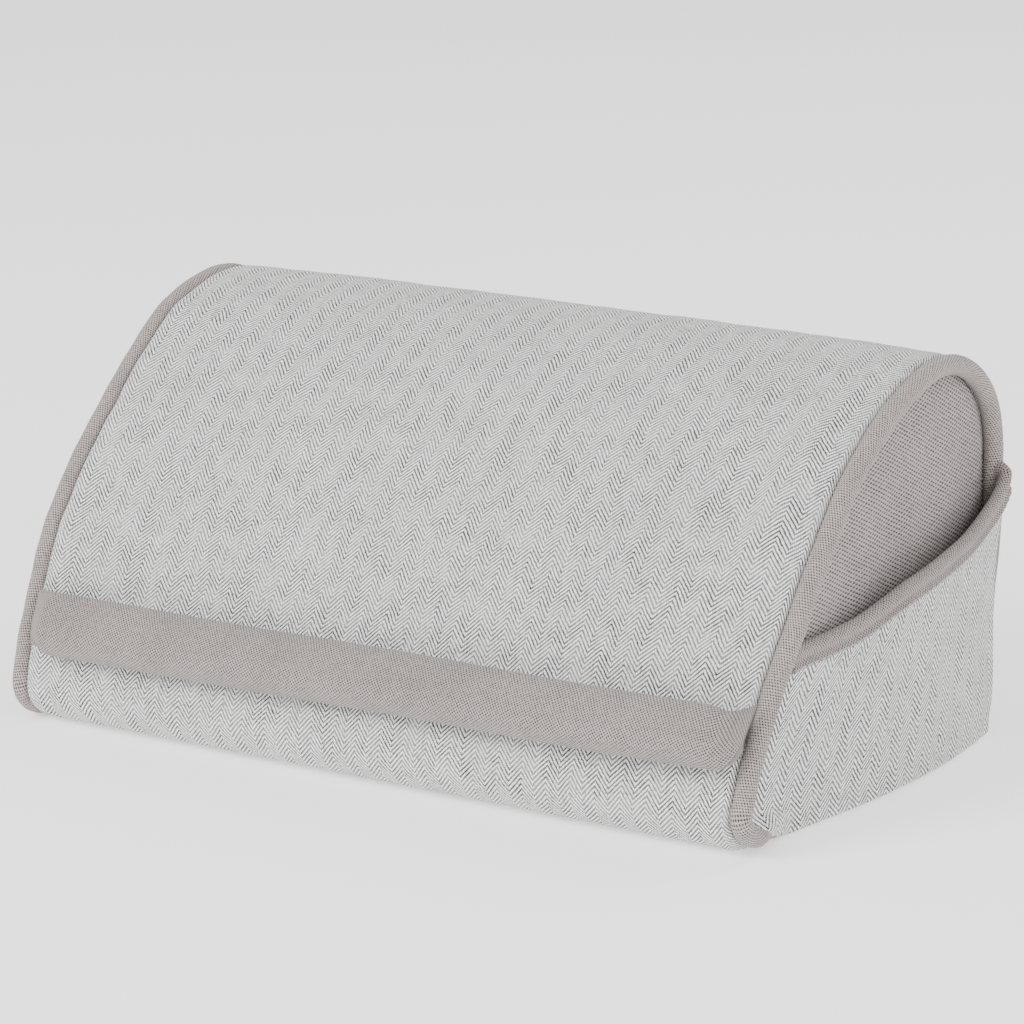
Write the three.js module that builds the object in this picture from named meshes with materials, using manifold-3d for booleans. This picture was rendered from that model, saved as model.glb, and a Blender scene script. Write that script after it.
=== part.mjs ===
// Soft wedge stand for a tablet: a foam core in a sewn, piped and zipped cover, with a padded
// ledge across the front and a phone pocket on the right-hand side.
// Millimetres. +X right, +Y back, +Z up; the origin is the middle of the flat base.

import * as THREE from "three";
import { ConvexGeometry } from "three/addons/geometries/ConvexGeometry.js";
import { mergeVertices } from "three/addons/utils/BufferGeometryUtils.js";
import Module from "manifold-3d";

// ---------------------------------------------------------------- driving dimensions

const GAP = 0.3; // between pieces that touch
const WIDE_GAP = 0.5; // beside a seam that curves

// Side outline of the cover, in (Y, Z).
const HEIGHT = 141;
const BACK_Y = 88;
const RIDGE_Y = 43;
const FRONT_FOOT = [-89.5, 16];
const FRONT_SWELL = [[-77, 53], [-20.5, HEIGHT]];
const FRONT_SEAM_Y = -74;
const FRONT_CORNER_PULL = [[-84, 0], [-92.1, 8.4]];
const SHOULDER_RADIUS = BACK_Y - RIDGE_Y;
const SHOULDER_FOOT_Z = HEIGHT - SHOULDER_RADIUS;
const REAR_CORNER_RADIUS = 10;

// Cover panels.
const PANEL_HALF_WIDTH = 141;
const FABRIC = 1.5;

// Piping round each side panel.
const PIPING_RADIUS = 3.2;
const PIPING_BORE = 2.3;
const CORD_RADIUS = 1.9;
const PIPING_X = PANEL_HALF_WIDTH + 3.6;
const PIPING_INSET = 3.3;
const PIPING_OUTSIDE = PIPING_X + PIPING_RADIUS;
const SIDE_PANEL_INSET = 2 * PIPING_INSET + GAP;
const SIDE_PANEL_THICKNESS = 1.4;

// Padded ledge. The tablet leans on the front panel and stands in the slot behind the ledge.
const LEDGE_HALF_LENGTH = 131;
const LEDGE_END_X = 140.6;
const LEDGE_OUTSIDE = [
  [-87.3, 28.6], [-91.6, 29.2], [-95.3, 31.3], [-97.3, 35.2], [-96.2, 39.8], [-91.6, 45.4], [-87.6, 49.2],
];
const LEDGE_TOP = [[-85.6, 49.9], [-83.9, 48.9]];
const LEDGE_INSIDE = [[-83.4, 47.9], [-93.2, 35], [-85.9, 31.6]];
const LEDGE_FILLER = [
  [-94.6, 35], [-95.7, 36.1], [-95, 39.4], [-91, 44.2], [-87.2, 47.7], [-85.7, 48.2], [-85.3, 47.5],
];
const FILLER_GAP = 0.4;
const LEDGE_SEAM = [[-85, 29.6], [-88.2, 31.4], [-89.6, 36], [-86, 42], [-79.2, 46.6]];

// Phone pocket: a panel that swells out from the right side panel, in (X, Y), under a slanting mouth.
const POCKET_PLAN = [
  [143.4, -84], [147, -52], [153.2, -18], [157.3, 22], [155.2, 54], [150.4, 75], [143.4, 84],
];
const POCKET_MOUTH = [[-84, 58], [10, 66.5], [90, 93]];
const POCKET_THICKNESS = 1.5;
const BINDING_THICKNESS = 0.8;
const BINDING_DEPTH = 9.5;
const POCKET_FLOOR_Y = [-70, 84];
const POCKET_FOOT_HEIGHT = 20;
const FAR_RIGHT = 170;

// Zip along the foot of the back.
const ZIP_Z = 20;
const ZIP_HALF_OPENING = 125;
const ZIP_TAPE_HALF_HEIGHT = 7.7;
const ZIP_TAPE_THICKNESS = 0.8;
const ZIP_TAPE_Y = BACK_Y - 0.7;
const COIL_HEIGHT = 2.15;
const COIL_THICKNESS = 1.3;
const COIL_HALF_LENGTH = 117.5;
const STOP_LENGTH = 3;
const SLIDER_LENGTH = 10;
const SLIDER_WIDTH = 8.8;
const SLIDER_WALL = 1.1;
const SLIDER_FLANGE = 1.6;
const SLIDER_LIFT = 0.4;
const BRIDGE_HALF_LENGTH = 3.3;
const BRIDGE_WIDTH = 1.8;
const BRIDGE_HEIGHT = 2;
const BRIDGE_WALL = 0.8;
const BRIDGE_ROOT = 0.3;
const PULL_LENGTH = 22;
const PULL_WIDTH = 7;
const PULL_THICKNESS = 0.9;
const PULL_CROSSBAR = 1.2;
const PULL_EYE_CLEARANCE = 0.6;

// ---------------------------------------------------------------- materials

function finish(color, roughness, metalness = 0) {
  return new THREE.MeshStandardMaterial({ color, roughness, metalness });
}

const HERRINGBONE = () => finish(0xcccbc9, 0.95);
const CANVAS = () => finish(0xaaa29e, 0.9);
const FOAM = () => finish(0xe8e2cf, 1);
const CORD = () => finish(0xe4e0d8, 1);
const TAPE = () => finish(0x9d9692, 0.9);
const NYLON = () => finish(0x8f8a87, 0.5);
const METAL = () => finish(0x8d8b8a, 0.35, 0.9);

// ---------------------------------------------------------------- scene helpers

const part = new THREE.Group();
const across = new THREE.Matrix4().makeBasis(
  new THREE.Vector3(0, 1, 0),
  new THREE.Vector3(0, 0, 1),
  new THREE.Vector3(1, 0, 0),
);

// Pieces drawn in (Y, Z) and extruded along X hang in this group.
const sideways = new THREE.Group();
sideways.quaternion.setFromRotationMatrix(across);
part.add(sideways);

function addMesh(group, name, geometry, material) {
  const mesh = new THREE.Mesh(geometry, material);
  mesh.name = name;
  group.add(mesh);
  return mesh;
}

const vectors = (pairs) => pairs.map(([u, v]) => new THREE.Vector2(u, v));

function prism(outline, depth, holes = []) {
  const shape = new THREE.Shape(vectors(outline));
  shape.holes = holes.map((hole) => new THREE.Path(vectors(hole)));
  return new THREE.ExtrudeGeometry(shape, { depth, bevelEnabled: false });
}

// A prism of a (Y, Z) outline, already turned to run along X between two planes.
function prismAcross(outline, fromX, toX) {
  return prism(outline, toX - fromX).applyMatrix4(across).translate(fromX, 0, 0);
}

function block(low, high) {
  const size = high.map((value, i) => value - low[i]);
  const middle = high.map((value, i) => (value + low[i]) / 2);
  return new THREE.BoxGeometry(...size).translate(...middle);
}

// ---------------------------------------------------------------- booleans

const wasm = await Module();
wasm.setup();

function solid(geometry) {
  const bare = geometry.clone();
  bare.deleteAttribute("normal");
  bare.deleteAttribute("uv");
  const merged = mergeVertices(bare, 1e-4);
  return new wasm.Manifold(
    new wasm.Mesh({
      numProp: 3,
      vertProperties: new Float32Array(merged.attributes.position.array),
      triVerts: new Uint32Array(merged.index.array),
    }),
  );
}

function geometryOf(manifold) {
  const mesh = manifold.getMesh();
  const geometry = new THREE.BufferGeometry();
  geometry.setAttribute("position", new THREE.BufferAttribute(mesh.vertProperties, 3));
  geometry.setIndex(new THREE.BufferAttribute(mesh.triVerts, 1));
  geometry.computeVertexNormals();
  return geometry;
}

// ---------------------------------------------------------------- side outline

const point = ([y, z]) => new THREE.Vector2(y, z);
const arc = (y, z, radius, from, to) => new THREE.EllipseCurve(y, z, radius, radius, from, to, true);

// The outline runs clockwise: front seam, front corner, front face, shoulder, back, rear corner, base.
const OUTLINE = {
  frontCorner: {
    curve: new THREE.CubicBezierCurve(
      point([FRONT_SEAM_Y, 0]),
      ...FRONT_CORNER_PULL.map(point),
      point(FRONT_FOOT),
    ),
    steps: 6,
  },
  frontFace: {
    curve: new THREE.CubicBezierCurve(point(FRONT_FOOT), ...FRONT_SWELL.map(point), point([RIDGE_Y, HEIGHT])),
    steps: 14,
  },
  shoulder: {
    curve: arc(RIDGE_Y, SHOULDER_FOOT_Z, SHOULDER_RADIUS, Math.PI / 2, 0),
    steps: 8,
  },
  back: {
    curve: new THREE.LineCurve(point([BACK_Y, SHOULDER_FOOT_Z]), point([BACK_Y, REAR_CORNER_RADIUS])),
    steps: 1,
  },
  rearCorner: {
    curve: arc(BACK_Y - REAR_CORNER_RADIUS, REAR_CORNER_RADIUS, REAR_CORNER_RADIUS, 0, -Math.PI / 2),
    steps: 5,
  },
  base: {
    curve: new THREE.LineCurve(point([BACK_Y - REAR_CORNER_RADIUS, 0]), point([FRONT_SEAM_Y, 0])),
    steps: 1,
  },
};

// Points along some of the outline's stretches, moved inwards by inset.
function outlineRun(stretches, inset) {
  const points = [];
  for (const name of stretches) {
    const { curve, steps } = OUTLINE[name];
    for (let i = points.length ? 1 : 0; i <= steps; i++) {
      const at = curve.getPoint(i / steps);
      const along = curve.getTangent(i / steps);
      points.push([at.x + along.y * inset, at.y - along.x * inset]);
    }
  }
  return points;
}

const wholeOutline = (inset) => outlineRun(Object.keys(OUTLINE), inset).slice(0, -1);

// A strip of fabric whose outer face is the given run and whose inner face is the same run further in.
function fabricStrip(outer, inner) {
  const width = 2 * PANEL_HALF_WIDTH;
  return prism([...outer, ...inner.reverse()], width).translate(0, 0, -PANEL_HALF_WIDTH);
}

// ---------------------------------------------------------------- foam core and cover panels

function addCore() {
  const width = 2 * (PANEL_HALF_WIDTH - GAP);
  const geometry = prism(wholeOutline(FABRIC + GAP), width).translate(0, 0, -width / 2);
  addMesh(sideways, "foam_core", geometry, FOAM());
}

function addFrontPanel() {
  const stretches = ["frontCorner", "frontFace", "shoulder"];
  const geometry = fabricStrip(outlineRun(stretches, 0), outlineRun(stretches, FABRIC));
  addMesh(sideways, "front_panel", geometry, HERRINGBONE());
}

function addBasePanel() {
  const rise = ZIP_Z - ZIP_TAPE_HALF_HEIGHT - GAP;
  const run = (inset) => [
    [BACK_Y - inset, rise],
    ...outlineRun(["rearCorner"], inset),
    [FRONT_SEAM_Y + GAP, inset],
  ];
  addMesh(sideways, "base_panel", fabricStrip(run(0), run(FABRIC)), CANVAS());
}

// The back panel is notched at its foot, where the zip lies.
function addBackPanel() {
  const top = SHOULDER_FOOT_Z - GAP;
  const notchX = ZIP_HALF_OPENING + GAP;
  const notchZ = ZIP_Z + ZIP_TAPE_HALF_HEIGHT + GAP;
  const foot = ZIP_Z - ZIP_TAPE_HALF_HEIGHT;
  const outline = [
    [-PANEL_HALF_WIDTH, foot], [-notchX, foot], [-notchX, notchZ], [notchX, notchZ],
    [notchX, foot], [PANEL_HALF_WIDTH, foot], [PANEL_HALF_WIDTH, top], [-PANEL_HALF_WIDTH, top],
  ];
  const mesh = addMesh(part, "back_panel", prism(outline, FABRIC), HERRINGBONE());
  mesh.rotation.x = Math.PI / 2;
  mesh.position.y = BACK_Y;
}

function addSidePanels() {
  const sides = [
    ["left_side_panel", -PANEL_HALF_WIDTH - GAP - SIDE_PANEL_THICKNESS, HERRINGBONE()],
    ["right_side_panel", PANEL_HALF_WIDTH + GAP, CANVAS()],
  ];
  for (const [name, x, material] of sides) {
    const geometry = prism(wholeOutline(SIDE_PANEL_INSET), SIDE_PANEL_THICKNESS);
    addMesh(sideways, name, geometry, material).position.z = x;
  }
}

// ---------------------------------------------------------------- piping

// Each piping runs once round its side panel, and its ends butt together under the base.
function pipingPath(x) {
  const underBase = (y) => [y, PIPING_INSET];
  const ring = wholeOutline(PIPING_INSET);
  const halfways = [FRONT_SEAM_Y / 2, BACK_Y / 2].map(underBase);
  const points = [underBase(-GAP), halfways[0], ...ring, halfways[1], underBase(GAP)];
  return new THREE.CatmullRomCurve3(points.map(([y, z]) => new THREE.Vector3(x, y, z)), false, "centripetal");
}

function tube(path, steps, sides, radius, bore = 0) {
  const circle = (r) =>
    Array.from({ length: sides }, (_, i) => {
      const angle = ((i + 0.5) / sides) * 2 * Math.PI;
      return [r * Math.cos(angle), r * Math.sin(angle)];
    });
  const shape = new THREE.Shape(vectors(circle(radius)));
  if (bore) shape.holes = [new THREE.Path(vectors(circle(bore)))];
  return new THREE.ExtrudeGeometry(shape, { steps, extrudePath: path, bevelEnabled: false });
}

function addPiping() {
  const steps = 72;
  const sides = 8;
  for (const [name, x] of [["left", -PIPING_X], ["right", PIPING_X]]) {
    const path = pipingPath(x);
    addMesh(part, `${name}_piping_cover`, tube(path, steps, sides, PIPING_RADIUS, PIPING_BORE), CANVAS());
    addMesh(part, `${name}_piping_cord`, tube(path, steps, sides, CORD_RADIUS), CORD());
  }
}

// ---------------------------------------------------------------- ledge

// Points of the front panel's face between two heights, seen from the ledge.
function panelFace(clearance, fromZ, toZ) {
  return outlineRun(["frontFace"], -clearance).filter(([, z]) => z > fromZ && z < toZ);
}

// A sleeve, open at both ends, round a strip of foam.
function addLedge() {
  const length = LEDGE_HALF_LENGTH;
  const sleeve = solid(prismAcross([...LEDGE_OUTSIDE, ...LEDGE_TOP, ...LEDGE_INSIDE], -length, length));
  const bore = solid(prismAcross(LEDGE_FILLER, -length - 1, length + 1));
  addMesh(part, "ledge_cover", geometryOf(sleeve.subtract(bore)), CANVAS());

  const centre = new THREE.Vector2();
  for (const corner of LEDGE_FILLER) centre.add(point(corner));
  centre.divideScalar(LEDGE_FILLER.length);
  const inner = LEDGE_FILLER.map((corner) => {
    const away = point(corner).sub(centre);
    away.setLength(away.length() - FILLER_GAP).add(centre);
    return [away.x, away.y];
  });
  const filler = prism(inner, 2 * length).translate(0, 0, -length);
  addMesh(sideways, "ledge_filler", filler, FOAM());
}

// Each end of the ledge falls back to the side seam, and closes the tablet slot.
function addLedgeEnds() {
  const [slotTop, , slotFoot] = LEDGE_INSIDE;
  const behind = panelFace(WIDE_GAP, slotFoot[1], slotTop[1]);
  const section = [...LEDGE_OUTSIDE, ...LEDGE_TOP, ...behind];
  for (const [name, side] of [["left", -1], ["right", 1]]) {
    const at = (outline, x) => outline.map(([y, z]) => new THREE.Vector3(side * x, y, z));
    const points = [...at(section, LEDGE_HALF_LENGTH + GAP), ...at(LEDGE_SEAM, LEDGE_END_X)];
    addMesh(part, `ledge_end_${name}`, new ConvexGeometry(points), CANVAS());
  }
}

// ---------------------------------------------------------------- phone pocket

const POCKET_CURVE = new THREE.SplineCurve(vectors(POCKET_PLAN));
const MOUTH_CURVE = new THREE.QuadraticBezierCurve(...POCKET_MOUTH.map(point));

// The pocket's plan, moved outwards by offset.
function pocketRun(offset) {
  const steps = 26;
  return Array.from({ length: steps + 1 }, (_, i) => {
    const at = POCKET_CURVE.getPoint(i / steps);
    const along = POCKET_CURVE.getTangent(i / steps);
    return [at.x + along.y * offset, at.y - along.x * offset];
  });
}

// A wall that follows the pocket's plan, thickened by clearance on both faces.
function pocketWall(clearance) {
  const inner = pocketRun(-POCKET_THICKNESS - clearance);
  return solid(prism([...pocketRun(clearance), ...inner.reverse()], HEIGHT));
}

// Everything beside the cushion between two parallels of the mouth, or below one of them.
function belowMouth(lift, depth) {
  const edge = MOUTH_CURVE.getPoints(14).map(({ x, y }) => [x, y + lift]);
  const ground = [[edge.at(-1)[0], -1], [edge[0][0], -1]];
  const lower = depth ? edge.map(([y, z]) => [y, z - depth]).reverse() : ground;
  return solid(prismAcross([...edge, ...lower], PANEL_HALF_WIDTH, FAR_RIGHT));
}

// The pocket is sewn in beside the piping, and at its foot it passes outside it to a floor.
function addPocket() {
  const faceX = PANEL_HALF_WIDTH + SIDE_PANEL_THICKNESS + 2 * GAP;
  const withinPiping = solid(prismAcross(wholeOutline(SIDE_PANEL_INSET), faceX, FAR_RIGHT));
  const [floorFrontY, floorBackY] = POCKET_FLOOR_Y;
  const outsidePiping = solid(
    block([PIPING_OUTSIDE + GAP, floorFrontY, 0], [FAR_RIGHT, floorBackY, POCKET_FOOT_HEIGHT]),
  );

  const wall = pocketWall(0).intersect(withinPiping.add(outsidePiping)).intersect(belowMouth(0));
  const [firstY, lastY] = [POCKET_PLAN[0][1], POCKET_PLAN.at(-1)[1]];
  const floorPlan = [...pocketRun(0), [PANEL_HALF_WIDTH, lastY], [PANEL_HALF_WIDTH, firstY]];
  const floor = solid(prism(floorPlan, POCKET_THICKNESS)).intersect(outsidePiping);
  addMesh(part, "pocket_panel", geometryOf(wall.add(floor)), HERRINGBONE());

  const reach = GAP + BINDING_THICKNESS;
  const tape = pocketWall(reach).intersect(withinPiping).intersect(belowMouth(reach, BINDING_DEPTH + reach));
  const edge = pocketWall(GAP).intersect(belowMouth(GAP));
  addMesh(part, "pocket_binding", geometryOf(tape.subtract(edge)), CANVAS());
}

// ---------------------------------------------------------------- zip

function addZip() {
  const tapeInside = ZIP_TAPE_Y - ZIP_TAPE_THICKNESS;
  const coilY = ZIP_TAPE_Y + GAP;
  const split = GAP / 2;
  const halves = [["lower", -1], ["upper", 1]];
  for (const [name, side] of halves) {
    const tape = [ZIP_Z + side * split, ZIP_Z + side * ZIP_TAPE_HALF_HEIGHT].sort((a, b) => a - b);
    const tapeBlock = block(
      [-ZIP_HALF_OPENING, tapeInside, tape[0]],
      [ZIP_HALF_OPENING, ZIP_TAPE_Y, tape[1]],
    );
    addMesh(part, `zip_tape_${name}`, tapeBlock, TAPE());
    const coil = [ZIP_Z + side * split, ZIP_Z + side * (split + COIL_HEIGHT)].sort((a, b) => a - b);
    const coilBlock = block(
      [-COIL_HALF_LENGTH, coilY, coil[0]],
      [COIL_HALF_LENGTH, coilY + COIL_THICKNESS, coil[1]],
    );
    addMesh(part, `zip_coil_${name}`, coilBlock, NYLON());
  }

  const coilReach = split + COIL_HEIGHT;
  const stopFrom = COIL_HALF_LENGTH + GAP;
  for (const [name, from] of [["left", -stopFrom - STOP_LENGTH], ["right", stopFrom]]) {
    const stop = block(
      [from, coilY, ZIP_Z - coilReach],
      [from + STOP_LENGTH, coilY + COIL_THICKNESS, ZIP_Z + coilReach],
    );
    addMesh(part, `zip_stop_${name}`, stop, METAL());
  }
}

// The slider stands at its closed end. Its mouth is open all along, so it runs over the closed coil.
function addSlider() {
  const x = COIL_HALF_LENGTH - SLIDER_LENGTH / 2;
  const coilFace = ZIP_TAPE_Y + GAP + COIL_THICKNESS;
  const plateY = coilFace + GAP;
  const faceY = plateY + SLIDER_WALL;
  const flangeY = ZIP_TAPE_Y + SLIDER_LIFT;
  const half = SLIDER_WIDTH / 2;
  const inner = half - SLIDER_FLANGE;
  const section = [
    [flangeY, -half], [faceY, -half], [faceY, half], [flangeY, half],
    [flangeY, inner], [plateY, inner], [plateY, -inner], [flangeY, -inner],
  ].map(([y, z]) => [y, z + ZIP_Z]);
  const body = solid(prismAcross(section, x - SLIDER_LENGTH / 2, x + SLIDER_LENGTH / 2));

  const outside = BRIDGE_HALF_LENGTH;
  const inside = outside - BRIDGE_WALL;
  const top = BRIDGE_HEIGHT + BRIDGE_WALL;
  const arch = [
    [-outside, -BRIDGE_ROOT], [-inside, -BRIDGE_ROOT], [-inside, BRIDGE_HEIGHT], [inside, BRIDGE_HEIGHT],
    [inside, -BRIDGE_ROOT], [outside, -BRIDGE_ROOT], [outside, top], [-outside, top],
  ];
  const bridge = prism(arch, BRIDGE_WIDTH).translate(x, faceY, ZIP_Z - BRIDGE_WIDTH / 2);
  addMesh(part, "zip_slider", geometryOf(body.add(solid(bridge))), METAL());

  addPull(x, faceY + BRIDGE_HEIGHT / 2);
}

// The pull lies flat along the closed coil, and turns on its crossbar under the slider's bridge.
function addPull(pivotX, pivotY) {
  const bar = PULL_CROSSBAR / 2;
  const eyeHalf = BRIDGE_WIDTH / 2 + PULL_EYE_CLEARANCE;
  const eyeEnd = BRIDGE_HALF_LENGTH + 2 * PULL_EYE_CLEARANCE;
  const half = PULL_WIDTH / 2;
  const tip = half * 0.6;
  const headHalf = eyeHalf + PULL_CROSSBAR;
  const outline = [
    [bar, -headHalf], [bar, headHalf], [-eyeEnd, half], [-PULL_LENGTH + tip, half],
    [-PULL_LENGTH, tip], [-PULL_LENGTH, -tip], [-PULL_LENGTH + tip, -half], [-eyeEnd, -half],
  ];
  const eye = [[-bar, -eyeHalf], [-bar, eyeHalf], [-eyeEnd, eyeHalf], [-eyeEnd, -eyeHalf]];
  const mesh = addMesh(part, "zip_pull", prism(outline, PULL_THICKNESS, [eye]), METAL());
  mesh.rotation.x = Math.PI / 2;
  mesh.position.set(pivotX, pivotY + PULL_THICKNESS / 2, ZIP_Z);
}

// ---------------------------------------------------------------- the object

addCore();
addFrontPanel();
addBackPanel();
addBasePanel();
addSidePanels();
addPiping();
addLedge();
addLedgeEnds();
addPocket();
addZip();
addSlider();

export default part;
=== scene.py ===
"""Tablet stand: a foam wedge in a sewn, piped cover, with a padded ledge, a phone pocket and a zip.

Lengths in the geometry sections are millimetres; a mesh turns them into metres as it is made.
Cloth coordinates, in the UV map CLOTH, are millimetres of cloth, so a weave keeps its real size.
"""
import math

import bmesh
import bpy
import numpy as np
from mathutils import Matrix, Vector


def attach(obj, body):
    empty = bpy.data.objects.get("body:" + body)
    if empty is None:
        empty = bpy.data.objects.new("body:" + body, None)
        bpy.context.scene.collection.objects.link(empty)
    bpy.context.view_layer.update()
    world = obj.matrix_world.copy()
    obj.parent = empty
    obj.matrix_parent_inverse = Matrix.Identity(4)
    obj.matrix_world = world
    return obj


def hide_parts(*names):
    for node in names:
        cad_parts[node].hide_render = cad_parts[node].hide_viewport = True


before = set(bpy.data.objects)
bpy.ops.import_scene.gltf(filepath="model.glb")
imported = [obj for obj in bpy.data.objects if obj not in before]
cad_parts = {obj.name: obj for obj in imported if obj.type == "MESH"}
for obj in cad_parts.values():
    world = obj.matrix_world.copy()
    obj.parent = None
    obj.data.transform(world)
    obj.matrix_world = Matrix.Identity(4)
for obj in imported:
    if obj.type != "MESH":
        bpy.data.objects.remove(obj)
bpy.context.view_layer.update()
MM = 0.001
CLOTH = "cloth"
CUSHION = "cushion"  # the body that everything but the zip's slider and pull rides on

# ---------------------------------------------------------------- driving dimensions, in mm

HALF = 141.0  # half the width between the side seams
HEIGHT = 141.0
BACK_Y = 88.0
RIDGE_Y = 43.0
SHOULDER = BACK_Y - RIDGE_Y
SHOULDER_FOOT_Z = HEIGHT - SHOULDER
FRONT_SEAM_Y = -74.0
FRONT_CORNER = [(-74, 0), (-84, 0), (-92.1, 8.4), (-89.5, 16)]
FRONT_FACE = [(-89.5, 16), (-77, 53), (-20.5, 141), (43, 141)]
REAR_CORNER = 10.0
CLOTH_THICKNESS = 1.2

SIDE_BOW = 2.7  # how far both sides stand out, once well above the base
LEFT_FULLNESS = 1.7  # how much further the left side stands out all over
LEFT_SWELL = (1.7, 62.0, 24.0)  # and again round a middle height: how far, where, how wide
LEFT_STEP = 1.6  # and again above the base, and below the ridge
RIDGE_SAG = 0.4
RIDGE_TILT = 2.3  # the ridge rises by this at the left seam and drops by it at the right one
SLACK = 0.35

PIPING_X = 144.3
PIPING_RADIUS = 3.5
PIPING_INSET = 3.4
CORD_RADIUS = 1.8
SIDE_INSET = 6.9  # from the outline to where a side panel turns in under the piping

ZIP_Z = 20.0
ZIP_HALF = 125.0
ZIP_WINDOW = 6.4  # from the middle of the zip to the edges of the back and the base
TAPE_REACH = 10.4  # from the closed coil to the tape's hidden edge
TAPE_Y = 87.0
TAPE_THICKNESS = 0.5
COIL_Y = 88.2
COIL_HALF_LENGTH = 117.5

TINY = 1e-9

# ---------------------------------------------------------------- small mathematics


def ramp(low, high, value):
    """0 below low, 1 above high, and a smooth rise between them."""
    t = np.clip((np.asarray(value, float) - low) / (high - low), 0, 1)
    return t * t * (3 - 2 * t)


def hump(value, place, spread):
    """1 at a place, fading to 0 on both sides of it."""
    return np.exp(-(((np.asarray(value, float) - place) / spread) ** 2))


def unit(vectors):
    return vectors / np.maximum(np.linalg.norm(vectors, axis=-1, keepdims=True), TINY)


def bezier(points, count):
    a, b, c, d = (np.array(p, float) for p in points)
    t = np.linspace(0, 1, count)[:, None]
    return (1 - t) ** 3 * a + 3 * (1 - t) ** 2 * t * b + 3 * (1 - t) * t * t * c + t ** 3 * d


def arc(centre, radius, start, end, count):
    angle = np.linspace(start, end, count)
    return np.stack([centre[0] + radius * np.cos(angle), centre[1] + radius * np.sin(angle)], -1)


def distances(path):
    """How far along the path each of its points lies."""
    return np.concatenate([[0], np.cumsum(np.linalg.norm(np.diff(path, axis=0), axis=1))])


def distances_round(ring):
    """How far round a closed ring each of its points lies, ending with the whole way round."""
    return distances(np.vstack([ring, ring[:1]]))


def length_of(path):
    return float(np.linalg.norm(np.diff(path, axis=0), axis=1).sum())


def even(path, count):
    """The path again, as points at even steps of its length."""
    along = distances(path)
    at = np.linspace(0, along[-1], count)
    return np.stack([np.interp(at, along, path[:, k]) for k in range(path.shape[1])], -1)


def spline(points, count, closed=False, steps=24):
    """A Catmull-Rom curve through the points, at even steps of its length."""
    p = np.array(points, float)
    pieces = len(p) if closed else len(p) - 1
    if closed:
        p = np.vstack([p[-1:], p, p[:2]])
    else:
        p = np.vstack([2 * p[0] - p[1], p, 2 * p[-1] - p[-2]])
    t = np.linspace(0, 1, steps, endpoint=False)[:, None]
    runs = []
    for i in range(pieces):
        a, b, c, d = p[i:i + 4]
        squared = 2 * a - 5 * b + 4 * c - d
        cubed = 3 * b - a - 3 * c + d
        runs.append(0.5 * (2 * b + (c - a) * t + squared * t ** 2 + cubed * t ** 3))
    runs.append(p[pieces + 1:pieces + 2])
    return even(np.vstack(runs), count)


def inset(path, distance, closed=False):
    """A (Y, Z) path that runs clockwise round the cushion, moved inwards by distance."""
    if closed:
        along = np.roll(path, -1, 0) - np.roll(path, 1, 0)
    else:
        along = np.gradient(path, axis=0)
    along = unit(along)
    return path + np.stack([along[:, 1], -along[:, 0]], -1) * np.reshape(distance, (-1, 1))


def joined(*runs):
    """Runs that end where the next one starts, as one path."""
    return np.vstack([runs[0]] + [run[1:] for run in runs[1:]])


def calm(rows, reach):
    """Rows averaged over their neighbours."""
    wide = np.pad(rows, ((reach, reach), (0, 0)), mode="edge")
    return np.mean([wide[k:k + len(rows)] for k in range(2 * reach + 1)], axis=0)


# ---------------------------------------------------------------- the cushion's shape

CORNER_RUN = bezier(FRONT_CORNER, 60)
FACE_RUN = bezier(FRONT_FACE, 300)
SHOULDER_RUN = arc((RIDGE_Y, SHOULDER_FOOT_Z), SHOULDER, math.pi / 2, 0, 90)
BACK_RUN = np.array([(BACK_Y, SHOULDER_FOOT_Z), (BACK_Y, REAR_CORNER)], float)
REAR_RUN = arc((BACK_Y - REAR_CORNER, REAR_CORNER), REAR_CORNER, 0, -math.pi / 2, 30)
BASE_RUN = np.array([(BACK_Y - REAR_CORNER, 0), (FRONT_SEAM_Y, 0)], float)
FRONT_RUN = joined(CORNER_RUN, FACE_RUN, SHOULDER_RUN)
WHOLE_RUN = joined(FRONT_RUN, BACK_RUN, REAR_RUN, BASE_RUN)


def waves(a, b, seed):
    """A smooth, uneven field between about -1 and 1, for the slackness of sewn cloth."""
    total = 0
    for i in range(5):
        turn = seed * 1.7 + i * 2.4
        wavelength = 46 - 7 * i
        along = a * math.cos(turn) + b * math.sin(turn)
        total = total + np.sin(along * 2 * math.pi / wavelength + seed * 5.1 + i * 1.9)
    return total / 3.2


def bow(z, side):
    """How far a side stands out at some height. The left one is fuller than the pocket's."""
    swell, place, spread = LEFT_SWELL
    fuller = LEFT_FULLNESS + swell * hump(z, place, spread)
    fuller += LEFT_STEP * (ramp(8, 30, z) + ramp(108, 134, z))
    return SIDE_BOW * ramp(25, 88, z) + (np.asarray(side) < 0) * fuller


def soften(points):
    """The stuffed shape: sides that bow out above the base, and a ridge that sags to the right."""
    x, y, z = points[..., 0], points[..., 1], points[..., 2]
    side = np.sign(x)
    reach = np.clip(np.abs(x) / HALF, 0, 1.05) ** 3
    ridge = (-RIDGE_SAG - RIDGE_TILT * x / HALF) * ramp(108, HEIGHT, z)
    slack = SLACK * waves(x, y + z, 1) * ramp(2, 25, z)
    out = points.copy()
    out[..., 0] = x + side * bow(z, side) * reach
    out[..., 1] = y - slack
    out[..., 2] = z + ridge + slack * 0.4
    return out


# ---------------------------------------------------------------- meshes


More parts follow.
